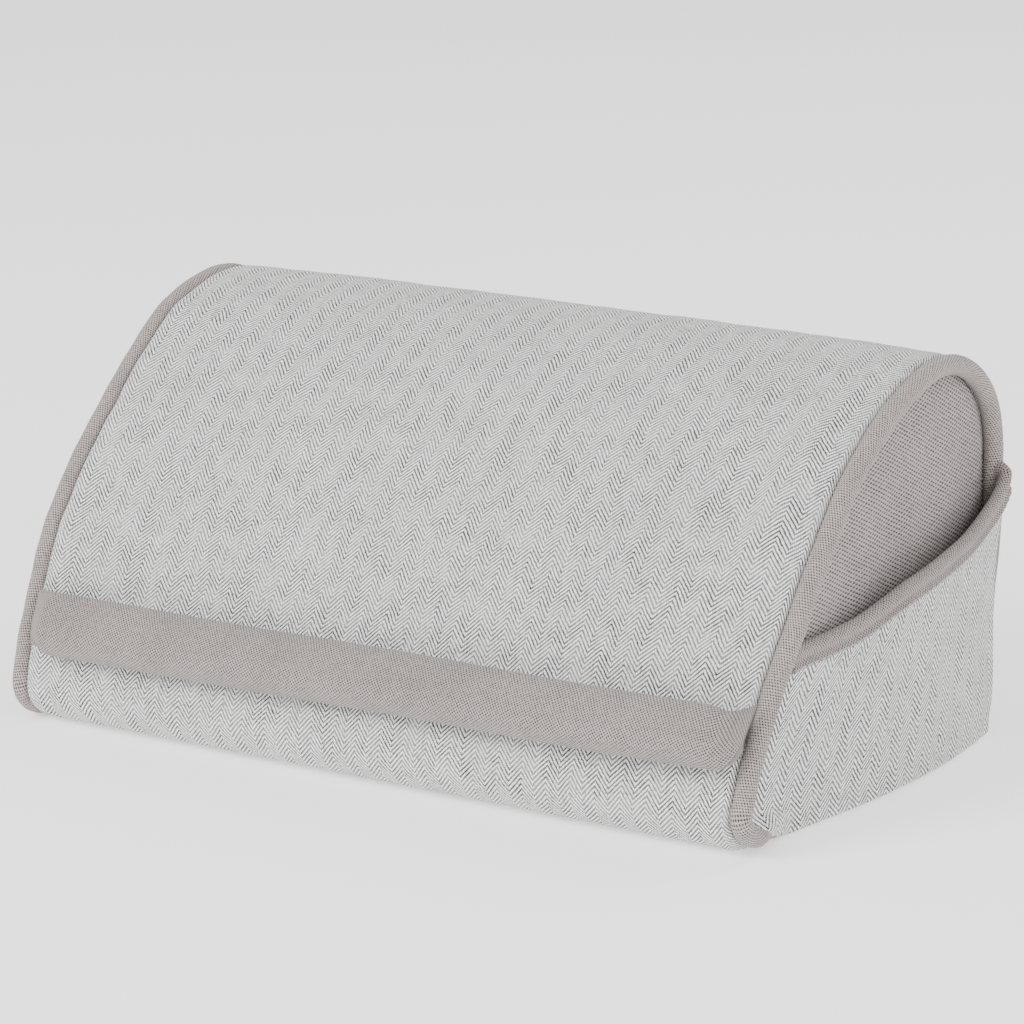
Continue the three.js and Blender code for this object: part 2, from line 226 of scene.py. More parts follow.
def finished(name, vertices, faces, uvs, material):
    """A smooth piece of the cushion, with its cloth coordinates and outward normals."""
    mesh = bpy.data.meshes.new(name)
    mesh.from_pydata((np.asarray(vertices) * MM).tolist(), [], faces)
    layer = mesh.uv_layers.new(name=CLOTH)
    layer.data.foreach_set("uv", np.asarray(uvs, float).ravel())
    mesh.validate()
    shell = bmesh.new()
    shell.from_mesh(mesh)
    bmesh.ops.recalc_face_normals(shell, faces=shell.faces)
    shell.to_mesh(mesh)
    shell.free()
    mesh.polygons.foreach_set("use_smooth", [True] * len(mesh.polygons))
    piece = bpy.data.objects.new(name, mesh)
    bpy.context.collection.objects.link(piece)
    piece.data.materials.append(material)
    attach(piece, CUSHION)
    return piece


def quads(rows, cols, wrap_rows=False, wrap_cols=False, offset=0):
    """Faces of a grid of points, and each corner's place in it, running on past a wrapped edge."""
    faces = []
    corners = []
    for r in range(rows if wrap_rows else rows - 1):
        for c in range(cols if wrap_cols else cols - 1):
            places = [(r, c), (r, c + 1), (r + 1, c + 1), (r + 1, c)]
            faces.append([offset + (a % rows) * cols + b % cols for a, b in places])
            corners.extend(places)
    return faces, corners


def end_caps(rows, cols):
    """The two faces that close the first and the last ring of a grid."""
    return [list(range(cols))[::-1], [(rows - 1) * cols + c for c in range(cols)]]


def cloth_panel(name, grid, cloth, material, thickness=CLOTH_THICKNESS, outward=-1):
    """A closed sheet whose outer face is grid. Outward is 1 for a grid that runs mirrored."""
    rows, cols = grid.shape[:2]
    normals = unit(np.cross(np.gradient(grid, axis=0), np.gradient(grid, axis=1)))
    inner = grid - outward * normals * thickness
    vertices = np.vstack([grid.reshape(-1, 3), inner.reshape(-1, 3)])
    flat = cloth.reshape(-1, 2)
    count = rows * cols
    faces, corners = quads(rows, cols)
    inner_faces, inner_corners = quads(rows, cols, offset=count)
    faces += inner_faces
    uvs = [flat[r * cols + c] for r, c in corners + inner_corners]
    rim = [(0, c) for c in range(cols)]
    rim += [(r, cols - 1) for r in range(1, rows)]
    rim += [(rows - 1, c) for c in range(cols - 2, -1, -1)]
    rim += [(r, 0) for r in range(rows - 2, 0, -1)]
    places = [r * cols + c for r, c in rim]
    for i, j in zip(places, places[1:] + places[:1]):
        face = [i, j, j + count, i + count]
        faces.append(face)
        uvs.extend(flat[k % count] for k in face)
    return finished(name, vertices, faces, uvs, material)


def tube(name, path, radius, sides, material, closed=False, dome_rings=4):
    """A round tube along a path, with domed ends when the path is open."""
    path = np.asarray(path, float)
    along = np.roll(path, -1, 0) - np.roll(path, 1, 0) if closed else np.gradient(path, axis=0)
    along = unit(along)
    radii = np.full(len(path), radius)
    if not closed:
        # A dome's rings narrow as they reach out past the end.
        reach = np.linspace(1, 0, dome_rings + 1)[:-1]
        narrow = np.sqrt(1 - reach ** 2 * 0.98) * radius
        first = path[:1] - along[:1] * reach[:, None] * radius
        last = path[-1:] + along[-1:] * reach[::-1, None] * radius
        path = np.vstack([first, path, last])
        along = np.pad(along, ((dome_rings, dome_rings), (0, 0)), mode="edge")
        radii = np.concatenate([narrow, radii, narrow[::-1]])
    side = unit(np.cross(along, (1.0, 0.0, 0.0)))
    other = np.cross(side, along)
    angle = np.arange(sides)[None, :, None] * 2 * math.pi / sides
    spokes = side[:, None] * np.cos(angle) + other[:, None] * np.sin(angle)
    grid = path[:, None] + spokes * radii[:, None, None]
    faces, corners = quads(len(path), sides, wrap_rows=closed, wrap_cols=True)
    step = length_of(path) / (len(path) - 1)
    girth = 2 * math.pi * radius / sides
    uvs = [(c * girth, r * step) for r, c in corners]
    if not closed:
        faces += end_caps(len(path), sides)
        uvs += [(0.0, 0.0)] * (2 * sides)
    return finished(name, grid.reshape(-1, 3), faces, uvs, material)


def loft(name, rings, material, lie=None):
    """A closed body through rings of points. Lie, if given, is the cloth's run round each ring."""
    rings = np.asarray(rings, float)
    rows, cols = rings.shape[:2]
    along = distances(rings.mean(1))
    if lie is None:
        lie = np.broadcast_to(distances_round(rings[rows // 2]), (rows, cols + 1))
    faces, corners = quads(rows, cols, wrap_cols=True)
    uvs = [(along[r], lie[r, c]) for r, c in corners]
    for cap in end_caps(rows, cols):
        faces.append(cap)
        uvs.extend((along[k // cols], lie[k // cols, k % cols]) for k in cap)
    return finished(name, rings.reshape(-1, 3), faces, uvs, material)


STITCH_PITCH = 3.1
STITCH_LENGTH = 2.3
STITCH_RADIUS = 0.24
STITCH_SIDES = 6
STITCH_RINGS = (-1, -0.8, -0.4, 0, 0.4, 0.8, 1)  # places from end to end of a stitch
STITCH_STEPS = 8  # points of the row's path to one stitch


def stitches(name, path, outward, material):
    """A row of thread stitches, each a small capsule that bends into the cloth at both ends."""
    count = int(length_of(path) / STITCH_PITCH)
    spots = even(path, count * STITCH_STEPS + 1)
    ways = even(outward, count * STITCH_STEPS + 1)
    vertices = []
    faces = []
    for i in range(count):
        at = i * STITCH_STEPS + STITCH_STEPS // 2
        up = unit(ways[at])
        along = unit(spots[at + 1] - spots[at - 1])
        side = np.cross(up, along)
        base = len(vertices)
        for k, t in enumerate(STITCH_RINGS):
            bulk = STITCH_RADIUS * (1 - abs(t) ** 4 * 0.7)
            lift = STITCH_RADIUS * (0.9 * (1 - t * t) - 0.55)
            mid = spots[at] + along * t * STITCH_LENGTH / 2 + up * lift
            for s in range(STITCH_SIDES):
                angle = s * 2 * math.pi / STITCH_SIDES
                vertices.append(mid + (side * math.cos(angle) + up * math.sin(angle)) * bulk)
        ring_faces, _ = quads(len(STITCH_RINGS), STITCH_SIDES, wrap_cols=True)
        for face in ring_faces + end_caps(len(STITCH_RINGS), STITCH_SIDES):
            faces.append([base + corner for corner in face])
    corner_count = sum(len(face) for face in faces)
    return finished(name, vertices, faces, [(0.0, 0.0)] * corner_count, material)


# ---------------------------------------------------------------- materials


class Net:
    """A material's node tree, with short calls for the nodes that cloth needs."""

    def __init__(self, name, roughness=0.9, metallic=0.0, sheen=0.0):
        self.material = bpy.data.materials.new(name)
        self.material.use_nodes = True
        self.tree = self.material.node_tree
        self.shader = self.tree.nodes["Principled BSDF"]
        self.shader.inputs["Roughness"].default_value = roughness
        self.shader.inputs["Metallic"].default_value = metallic
        self.shader.inputs["Sheen Weight"].default_value = sheen
        self.shader.inputs["Sheen Roughness"].default_value = 0.5

    def node(self, kind, **settings):
        made = self.tree.nodes.new(kind)
        for key, value in settings.items():
            setattr(made, key, value)
        return made

    def feed(self, socket, value):
        if isinstance(value, bpy.types.NodeSocket):
            self.tree.links.new(value, socket)
        else:
            socket.default_value = value

    def math(self, operation, a, b=0.0):
        made = self.node("ShaderNodeMath", operation=operation)
        self.feed(made.inputs[0], a)
        self.feed(made.inputs[1], b)
        return made.outputs[0]

    def add(self, a, b):
        return self.math("ADD", a, b)

    def times(self, a, b):
        return self.math("MULTIPLY", a, b)

    def over(self, a, b):
        return self.math("DIVIDE", a, b)

    def about(self, value, middle, reach):
        """How far a value is from a middle one, scaled by reach."""
        return self.times(self.math("SUBTRACT", value, middle), reach)

    def map(self, value, low, high, to_low=0.0, to_high=1.0, smooth=True):
        kind = "SMOOTHSTEP" if smooth else "LINEAR"
        made = self.node("ShaderNodeMapRange", interpolation_type=kind)
        self.feed(made.inputs["Value"], value)
        self.feed(made.inputs["From Min"], low)
        self.feed(made.inputs["From Max"], high)
        self.feed(made.inputs["To Min"], to_low)
        self.feed(made.inputs["To Max"], to_high)
        return made.outputs[0]

    def join(self, x, y):
        made = self.node("ShaderNodeCombineXYZ")
        self.feed(made.inputs[0], x)
        self.feed(made.inputs[1], y)
        return made.outputs[0]

    def noise(self, vector, scale=1.0, detail=2.0, roughness=0.5):
        made = self.node("ShaderNodeTexNoise")
        self.feed(made.inputs["Vector"], vector)
        self.feed(made.inputs["Scale"], scale)
        self.feed(made.inputs["Detail"], detail)
        self.feed(made.inputs["Roughness"], roughness)
        return made.outputs["Fac"]

    def grain(self, u, v):
        """A value for each cell of a grid whose cells are one unit wide."""
        made = self.node("ShaderNodeTexWhiteNoise", noise_dimensions="2D")
        cell = self.join(self.math("FLOOR", u), self.math("FLOOR", v))
        self.feed(made.inputs["Vector"], cell)
        return made.outputs["Value"]

    def blend(self, factor, a, b):
        made = self.node("ShaderNodeMix", data_type="RGBA")
        self.feed(made.inputs[0], factor)
        self.feed(made.inputs[6], (*a, 1) if isinstance(a, tuple) else a)
        self.feed(made.inputs[7], (*b, 1) if isinstance(b, tuple) else b)
        return made.outputs[2]

    def dim(self, colour, factor):
        made = self.node("ShaderNodeVectorMath", operation="SCALE")
        self.feed(made.inputs[0], colour)
        self.feed(made.inputs["Scale"], factor)
        return made.outputs[0]

    def cloth(self):
        """The cloth coordinates u and v, in millimetres."""
        made = self.node("ShaderNodeUVMap", uv_map=CLOTH)
        split = self.node("ShaderNodeSeparateXYZ")
        self.tree.links.new(made.outputs[0], split.inputs[0])
        return split.outputs[0], split.outputs[1]

    def place(self):
        """The surface point in object space, in millimetres."""
        made = self.node("ShaderNodeTexCoord")
        return self.dim(made.outputs["Object"], 1 / MM)

    def bump(self, height, distance, strength=1.0):
        made = self.node("ShaderNodeBump")
        self.feed(made.inputs["Height"], height)
        self.feed(made.inputs["Distance"], distance * MM)
        self.feed(made.inputs["Strength"], strength)
        self.tree.links.new(made.outputs[0], self.shader.inputs["Normal"])

    def colour(self, value):
        self.feed(self.shader.inputs["Base Color"], value)

    def rough(self, value):
        self.feed(self.shader.inputs["Roughness"], value)


YARNS_IN_COLUMN = 22
TWILL_RISE = 10.8  # how far a diagonal climbs across one whole column, in mm
YARN_WHITE = (0.97, 0.97, 0.96)
YARN_BLACK = (0.012, 0.012, 0.012)
YARN_SPECK = (0.06, 0.055, 0.055)


def herringbone(name, column, pitch):
    """Broken twill: columns of diagonals that turn back every half column, stepped yarn by yarn."""
    net = Net(name, roughness=0.92, sheen=0.08)
    u, v = net.cloth()
    at = net.join(u, v)
    yarn = column / YARNS_IN_COLUMN
    drift = net.about(net.noise(at, 0.06, 1.0), 0.5, 2.2)
    jitter = net.about(net.noise(at, 0.7, 2.0), 0.5, 0.55)
    across = net.add(u, net.add(drift, net.times(jitter, 0.5)))
    stepped = net.times(net.math("FLOOR", net.over(across, yarn)), yarn)
    fold = net.math("PINGPONG", net.over(stepped, column), 0.5)
    along = net.add(net.over(net.add(v, jitter), pitch), net.times(fold, TWILL_RISE / pitch))
    stripe = net.math("PINGPONG", along, 0.5)
    slub = net.grain(net.over(u, yarn), net.over(v, pitch / 4))
    face = net.map(net.add(stripe, net.about(slub, 0.5, 0.13)), 0.16, 0.36)
    # The stripes fade towards a middle shade where the yarns are unevenly dyed.
    faint = net.map(net.noise(at, 0.11, 3.0, 0.6), 0.35, 0.65, 0.7, 1.0)
    middle = 0.62
    shade = net.add(net.about(face, middle, faint), middle)
    streak = net.noise(net.join(net.over(u, 0.5), net.over(v, 7.0)), 1.0, 2.0)
    shade = net.add(shade, net.about(streak, 0.5, 0.5))
    colour = net.blend(net.map(shade, 0.0, 1.0, smooth=False), YARN_BLACK, YARN_WHITE)
    speck = net.times(net.map(slub, 0.93, 0.96), net.map(net.noise(at, 0.35, 1.0), 0.45, 0.55))
    colour = net.blend(net.times(speck, 0.7), colour, YARN_SPECK)
    patch = net.map(net.noise(at, 0.03, 2.0), 0.3, 0.7, 0.96, 1.03)
    net.colour(net.dim(colour, patch))
    round_u = net.math("SINE", net.times(u, 2 * math.pi / yarn))
    round_v = net.math("SINE", net.times(v, 8 * math.pi / pitch))
    weave = net.times(net.add(round_u, round_v), 0.12)
    net.bump(net.add(net.times(face, 0.7), weave), 0.16, 0.7)
    return net.material


def canvas(name, light, dark, pitch, turn=0.0, depth=0.14):
    """A plain weave: rounded crossings in staggered rows, with dark gaps between them."""
    net = Net(name, roughness=0.9, sheen=0.1)
    u, v = net.cloth()
    at = net.join(u, v)
    jitter = net.about(net.noise(at, 0.6, 2.0), 0.5, pitch[1] * 0.2)
    cos, sin = math.cos(turn), math.sin(turn)
    warp = net.add(net.times(u, cos), net.times(v, sin))
    weft = net.math("SUBTRACT", net.times(v, cos), net.times(u, sin))
    crossing = net.times(*(
        net.math("COSINE", net.times(net.add(axis, jitter), 2 * math.pi / size))
        for axis, size in zip((warp, weft), pitch)
    ))
    yarn = net.grain(net.over(warp, pitch[0] / 2), net.over(weft, pitch[1] / 2))
    face = net.map(net.add(crossing, net.about(yarn, 0.5, 0.35)), -0.8, 0.35)
    patch = net.map(net.noise(at, 0.04, 3.0), 0.3, 0.7, 0.93, 1.05)
    net.colour(net.dim(net.blend(face, dark, light), patch))
    net.bump(face, depth, 0.8)
    return net.material


def shaded(tone, share):
    return tuple(share * part for part in tone)


def foam(name, tone):
    net = Net(name, roughness=1.0)
    cells = net.node("ShaderNodeTexVoronoi")
    net.feed(cells.inputs["Vector"], net.place())
    net.feed(cells.inputs["Scale"], 1.6)
    pore = cells.outputs["Distance"]
    net.colour(net.blend(net.map(pore, 0.1, 0.5), shaded(tone, 0.55), tone))
    net.bump(net.math("SUBTRACT", 1.0, pore), 0.3)
    return net.material


def thread(name, tone):
    net = Net(name, roughness=0.7, sheen=0.2)
    ply = net.noise(net.place(), 3.0, 3.0)
    net.colour(net.blend(net.map(ply, 0.3, 0.7), shaded(tone, 0.7), tone))
    net.bump(ply, 0.05)
    return net.material


def satin_metal(name, tone):
    net = Net(name, metallic=0.9)
    brushed = net.noise(net.place(), 1.4, 4.0, 0.6)
    net.colour(net.blend(net.map(brushed, 0.35, 0.65), shaded(tone, 0.8), tone))
    net.rough(net.map(brushed, 0.2, 0.8, 0.3, 0.5))
    net.bump(brushed, 0.02)
    return net.material


def nylon(name, tone):
    net = Net(name)
    cloudy = net.noise(net.place(), 1.2, 2.0)
    net.colour(net.blend(net.map(cloudy, 0.3, 0.7), shaded(tone, 0.8), tone))
    net.rough(net.map(cloudy, 0.2, 0.8, 0.38, 0.52))
    net.bump(cloudy, 0.02)
    return net.material


def glowing_paper(name, tone, glow):
    net = Net(name, roughness=0.7)
    net.shader.inputs["Emission Color"].default_value = (*tone, 1.0)
    net.shader.inputs["Emission Strength"].default_value = glow
    cloudy = net.noise(net.place(), 0.004, 2.0)
    net.colour(net.blend(net.map(cloudy, 0.3, 0.7), shaded(tone, 0.985), tone))
    return net.material


HERRINGBONE = herringbone("herringbone", column=9.3, pitch=1.8)
POCKET_HERRINGBONE = herringbone("pocket_herringbone", column=10.2, pitch=1.9)
TRIM = canvas(
    "trim_canvas", (0.37, 0.325, 0.31), (0.01, 0.008, 0.008), (1.3, 1.3), turn=math.radians(8)
)
BIAS = canvas(
    "bias_canvas", (0.42, 0.37, 0.35), (0.02, 0.016, 0.016), (1.5, 1.1), turn=math.radians(30)
)
COARSE = canvas("pocket_canvas", (0.39, 0.335, 0.33), (0.03, 0.025, 0.025), (3.2, 1.5), depth=0.25)
BASE = canvas("base_canvas", (0.40, 0.36, 0.345), (0.08, 0.07, 0.065), (1.7, 1.7))
TAPE = canvas(
    "zip_tape", (0.38, 0.335, 0.315), (0.09, 0.08, 0.075), (1.2, 1.2), turn=math.radians(45)
)
FOAM = foam("foam", (0.80, 0.74, 0.60))
COTTON = thread("cotton_cord", (0.76, 0.74, 0.68))
THREAD = thread("sewing_thread", (0.50, 0.46, 0.44))
NYLON = nylon("zip_nylon", (0.20, 0.185, 0.175))
METAL = satin_metal("zip_metal", (0.23, 0.225, 0.22))

# ---------------------------------------------------------------- cover panels

PANEL_EDGE = 134.5  # beyond this the cloth dips into the side seam
PANEL_STEP = 2.0
SEAM_DIP = [  # x, and how far inside the outline the cloth lies there
    (137.0, 0.05), (138.7, 0.3), (139.9, 0.8), (140.6, 1.5), (141.0, 2.5), (141.2, 3.9),
    (141.25, 6.0),
]
END_SINK = 5.0  # over this length a panel dips into the seam at its end
FACE_NORMAL = np.array([-0.75, 0.65])  # in Y and Z, for the upper part of the front face
FOLD_X, FOLD_HEIGHT = 127.0, 2.4  # the soft fold beside the right piping
VALLEY_X, VALLEY_DEPTH = 113.0, 1.2  # and the hollow next to it
SIDE_X = 142.6  # a side panel beside the piping
SIDE_TUCK = (141.3, 140.6)  # its edge, turned in under the piping
SIDE_MIDDLE = np.array([22.0, 58.0])
SIDE_POINTS = 240  # round the edge of a side panel
SIDE_SLACK = 0.5
FOAM_INSET = 2.6
FOAM_MIDDLE = np.array([10.0, 55.0])
FOAM_RINGS = [(60, 1), (120, 1), (138, 0.992), (139.6, 0.97), (140, 0.93)]  # x, and its size


def at_x(x, outline):
    """A (Y, Z) outline as points at some x."""
    return np.column_stack([np.full(len(outline), float(x)), outline])


def declare_sheet(piece, node, slot, flat, rests_on="foam_block", **more):
    """Hides the part that a cut piece of cloth stands for. The piece, its finish, its flat size in
    metres, rests_on and more are not used.
    """
    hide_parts(node)


def seam_columns():
    """Places across a panel, each with how far the cloth lies inside the outline there."""
    flat = np.linspace(-PANEL_EDGE, PANEL_EDGE, int(2 * PANEL_EDGE / PANEL_STEP))
    left = [(-x, dip) for x, dip in reversed(SEAM_DIP)]
    return np.array(left + [(x, 0.0) for x in flat] + SEAM_DIP)


def panel_grid(run, rows, crown, end_dips):
    """A panel along a stretch of the outline, crowned in the middle and drawn in at its edges."""
    path = even(run, rows)
    along = np.linspace(0, length_of(run), rows)
    columns = seam_columns()
    ends = end_dips[0] * (1 - ramp(0, END_SINK, along))
    ends += end_dips[1] * (1 - ramp(0, END_SINK, along[-1] - along))
    grid = np.zeros((rows, len(columns), 3))
    for c, (x, dip) in enumerate(columns):
        puff = crown * (1 - (abs(x) / HALF) ** 4) * ramp(3, 30, path[:, 1])
        grid[:, c, 0] = x
        grid[:, c, 1:] = inset(path, dip + ends - puff)
    across = columns[:, 0] + np.sign(columns[:, 0]) * columns[:, 1]
    cloth = np.stack(np.broadcast_arrays(across[None, :], along[:, None]), -1)
    return grid, cloth


def add_front():
    grid, cloth = panel_grid(FRONT_RUN, 200, crown=1.2, end_dips=(0.0, 1.2))
    x, y, z = grid[..., 0], grid[..., 1], grid[..., 2]
    fold = FOLD_HEIGHT * hump(x, FOLD_X, 6) - VALLEY_DEPTH * hump(x, VALLEY_X, 7)
    fold *= ramp(78, 102, z) * (1 - ramp(120, 136, z)) * (1 - ramp(20, RIDGE_Y, y))
    slack = SLACK * waves(x * 1.4, y + z, 2) * ramp(40, 60, z) * (1 - ramp(60, 84, y))
    grid[..., 1:] += (fold + slack)[..., None] * FACE_NORMAL
    piece = cloth_panel("front_cloth", soften(grid), cloth, HERRINGBONE)
    flat = (2 * HALF * MM, length_of(FRONT_RUN) * MM)
    declare_sheet(piece, "front_panel", "herringbone", flat)


def add_back():
    top = (BACK_Y, SHOULDER_FOOT_Z - 0.2)
    run = np.array([top, (BACK_Y, ZIP_Z + ZIP_WINDOW)])
    long_run = np.array([top, (BACK_Y, ZIP_Z - ZIP_WINDOW + 0.2)])
    grid, cloth = panel_grid(run, 60, crown=1.0, end_dips=(1.2, 0.4))
    long_grid, long_cloth = panel_grid(long_run, 60, crown=1.0, end_dips=(1.2, 0.4))
    # Beside both ends of the zip the panel runs on down to the base.
    beside = np.abs(grid[0, :, 0]) > ZIP_HALF - 2
    grid[:, beside] = long_grid[:, beside]
    cloth[:, beside] = long_cloth[:, beside]
    cloth[..., 1] *= -1
    piece = cloth_panel("back_cloth", soften(grid), cloth, HERRINGBONE)
    flat = (2 * HALF * MM, length_of(run) * MM)
    declare_sheet(piece, "back_panel", "herringbone", flat)


def add_base():
    turned_up = np.array([(BACK_Y, ZIP_Z - ZIP_WINDOW), (BACK_Y, REAR_CORNER)])
    run = joined(turned_up, REAR_RUN, BASE_RUN)
    grid, cloth = panel_grid(run, 110, crown=0.0, end_dips=(0.4, 0.3))
    piece = cloth_panel("base_cloth", soften(grid), cloth, BASE)
    flat = (2 * HALF * MM, length_of(run) * MM)
    declare_sheet(piece, "base_panel", "base_canvas", flat)


def side_panel(name, side, bulge, material):
    """A side panel, in rings from its middle out to where it turns in under the piping."""
    edge = even(inset(WHOLE_RUN, SIDE_INSET), SIDE_POINTS + 1)[:-1]
    tucked = even(inset(WHOLE_RUN, SIDE_INSET - 1.2), SIDE_POINTS + 1)[:-1]
    shares = np.concatenate([np.linspace(0.02, 0.9, 32), [0.93, 0.96, 0.98, 1.0]])
    rings = []
    for share in shares:
        x = SIDE_X + bulge * (1 - share ** 2.2) - 0.8 * ramp(0.94, 1.0, share)
        rings.append(at_x(side * x, SIDE_MIDDLE + (edge - SIDE_MIDDLE) * share))
    grid = np.array(rings + [at_x(side * x, tucked) for x in SIDE_TUCK])
    loose = 1 - np.append(shares, [1, 1]) ** 6
    grid[..., 0] += side * SIDE_SLACK * waves(grid[..., 1], grid[..., 2], 3) * loose[:, None]
    outer = soften(grid)
    inner = outer.copy()
    inner[..., 0] -= side * CLOTH_THICKNESS
    vertices = np.concatenate([outer, inner[::-1]]).reshape(-1, 3)
    rows = 2 * len(outer)
    faces, _ = quads(rows, SIDE_POINTS, wrap_cols=True)
    faces += end_caps(rows, SIDE_POINTS)
    uvs = [(side * vertices[k, 1], vertices[k, 2]) for face in faces for k in face]
    return finished(name, vertices, faces, uvs, material)


def add_sides():
    flat, area = (0.165, 0.128), 0.0174  # metres and square metres
    left = side_panel("left_side_cloth", -1, 4.5, HERRINGBONE)
    declare_sheet(left, "left_side_panel", "herringbone", flat, area=area)
    right = side_panel("right_side_cloth", 1, 1.5, COARSE)
    declare_sheet(right, "right_side_panel", "pocket_canvas", flat, area=area)


def add_foam():
    outline = even(inset(WHOLE_RUN, FOAM_INSET), 161)[:-1]
    left = [(-x, share) for x, share in reversed(FOAM_RINGS)]
    rings = [
        at_x(x, FOAM_MIDDLE + (outline - FOAM_MIDDLE) * share)
        for x, share in left + [(0, 1)] + FOAM_RINGS
    ]
    piece = loft("foam_block", soften(np.array(rings)), FOAM)
    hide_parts("foam_core")


def piping_line(side):
    """The closed line that a side's piping follows."""
    outline = even(inset(WHOLE_RUN, PIPING_INSET), 421)
    line = soften(at_x(side * PIPING_X, outline))
    line[:, 2] = np.maximum(line[:, 2], PIPING_RADIUS + 0.05)
    if side > 0:
        # The base run is drawn in under the pocket, and its front corner is lifted.
        y, z = outline.T
        drawn = ramp(-78, -64, y) * (1 - ramp(66, 78, y)) * (1 - ramp(4, 8, z))
        line[:, 0] -= 3.0 * drawn
        line[:, 2] += 2.2 * (1 - ramp(-76, -56, y)) * (1 - ramp(8, 20, z))
    return even(line, 420)[:-1]


def add_piping():
    for name, side in (("left", -1), ("right", 1)):
        path = piping_line(side)
        cover = tube(f"{name}_piping", path, PIPING_RADIUS, 20, BIAS, closed=True)
        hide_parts(f"{name}_piping_cover")
        cord = tube(f"{name}_cord", path[::3], CORD_RADIUS, 10, COTTON, closed=True)
        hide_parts(f"{name}_piping_cord")


# ---------------------------------------------------------------- ledge

LEDGE_SECTION = [
    (-86.2, 29.3), (-91.4, 28.9), (-95.3, 31.0), (-97.3, 35.0), (-96.4, 39.6), (-92.6, 44.4),
    (-88.6, 48.0), (-86.0, 49.2), (-84.0, 48.5), (-83.9, 47.0), (-88.4, 41.2), (-92.9, 35.4),
    (-90.6, 32.9), (-86.3, 32.0),
]
LEDGE_SEAM = [
    (-83.9, 31.6), (-84.9, 31.9), (-85.3, 33.4), (-84.6, 36.2), (-83.2, 39.4), (-81.4, 42.8),
    (-79.8, 45.6), (-78.7, 47.4), (-77.6, 48.8), (-76.2, 48.6), (-77.6, 45.4), (-79.6, 41.0),
    (-81.6, 36.8), (-83.0, 33.4),
]
LEDGE_FULL = spline(LEDGE_SECTION, 73, closed=True)[:-1]
LEDGE_FLAT = spline(LEDGE_SEAM, 73, closed=True)[:-1]
LEDGE_LEFT = (126.5, 139.4)  # where the left end begins to draw back, and where it stops
LEDGE_RIGHT = (134.5, 143.4)
LEDGE_ROUNDNESS = 2.6  # the right end's plan: 2 is an arc, and more is squarer
LEDGE_EVEN = 126.0  # rings are closer together beyond this
FILLER_INSET = 1.2


def ledge_ring(x, shrink=0.0):
    """The padded roll's section at x. Both ends are drawn back to the seam beside the piping."""
    start, stop = LEDGE_RIGHT if x > 0 else LEDGE_LEFT
    t = np.clip((abs(x) - start) / (stop - start), 0, 1)
    share = 1 - (1 - t ** LEDGE_ROUNDNESS) ** (1 / LEDGE_ROUNDNESS) if x > 0 else t
    ring = LEDGE_FULL * (1 - share) + LEDGE_FLAT * share
    if shrink:
        ring = inset(ring, shrink, closed=True)
    low = 1 - ramp(31, 47, ring[:, 1])
    lift = (0.4 + 1.1 * low) * x / HALF + 0.2 * math.sin(x / 21 + 0.6)
    rounded = 3.0 * t ** 5 * low if x > 0 else -2.6 * t
    dimple = -1.3 * hump(x, 138, 4) * (1 - low)
    ring[:, 1] += lift + rounded + dimple
    ring[:, 0] += 0.25 * math.sin(x / 27 + 2.0) * (1 - share)
    return soften(at_x(x, ring))[::-1]


def add_ledge():
    left = np.linspace(-LEDGE_LEFT[1], -LEDGE_EVEN, 14)
    right = LEDGE_RIGHT[1] - (LEDGE_RIGHT[1] - LEDGE_EVEN) * np.linspace(1, 0, 22) ** 2
    places = np.concatenate([left, np.linspace(2 - LEDGE_EVEN, LEDGE_EVEN - 2, 125), right])
    rings = np.array([ledge_ring(x) for x in places])
    # On the outer face the cloth's rows stay level, right into both drawn-in ends.
    middle = rings[len(rings) // 2]
    around = distances_round(middle)
    top, low = int(np.argmax(middle[:, 2])), int(np.argmin(middle[:, 1]))
    outer = np.arange(top, low + 12)  # down the face and round into the underside
    rising = outer[np.argsort(middle[outer, 2])]
    lie = np.tile(around, (len(rings), 1))
    for row, ring in zip(lie, rings):
        lifted = ring[top, 2] - middle[top, 2]
        row[outer] = np.interp(ring[outer, 2] - lifted, middle[rising, 2], around[rising])
    roll = loft("ledge_roll", rings, TRIM, lie=lie)
    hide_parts("ledge_cover", "ledge_end_left", "ledge_end_right")
    inner = [ledge_ring(x, FILLER_INSET) for x in np.linspace(-122, 124, 30)]
    filler = loft("ledge_foam", inner, FOAM)
    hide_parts("ledge_filler")


# ---------------------------------------------------------------- phone pocket

# How far out the pocket stands, from its front to its back.
POCKET_PLAN = [
    (-84, 144.4), (-60, 145.4), (-38, 148.8), (-18, 152.4), (4, 155.0), (28, 156.4), (54, 155.4),
    (75, 153.2), (88, 150.5),
]
# How high its mouth is.
MOUTH = [
    (-84, 58.5), (-60, 61.0), (-45, 62.2), (-28, 63.4), (-18, 65.2), (-8, 67.6), (2, 69.8),
    (12, 71.4), (27, 73.9), (44, 77.0), (60, 80.8), (69, 83.8), (75, 87.0), (79, 90.0), (82, 92.6),
    (85, 95.0), (88, 96.8), (91, 98.0),
]
# How high its foot is, which rises over the piping where the piping's base run begins.
POCKET_FOOT = np.array([
    (-87, 10.9), (-83.7, 9.4), (-79, 7.9), (-73.7, 6.2), (-70, 4.6), (-66.6, 3.0), (-60, 1.0),
    (-54, 0.4), (-40, 0.4), (92, 0.4),
])
POCKET_SMOOTH = spline(POCKET_PLAN, 80)
MOUTH_SMOOTH = spline(MOUTH, 80)
INNER_OUTLINE = inset(WHOLE_RUN, SIDE_INSET)
FACE_START = int(np.argmin(INNER_OUTLINE[:150, 0]))
FACE_EDGE = INNER_OUTLINE[FACE_START:len(CORNER_RUN) + len(FACE_RUN)]
POCKET_SEAM_X = 143.9  # where its edges meet the side, before the side's bow
POCKET_FOOT_X = 147.2  # over the piping, at the front
POCKET_FOOT_DRAW = 1.8  # how far the foot is drawn in behind that
POCKET_FLARE = 1.2  # how far its rear part leans out towards the mouth
POCKET_SLACK = 0.5
POCKET_CLOTH_START = -85.0
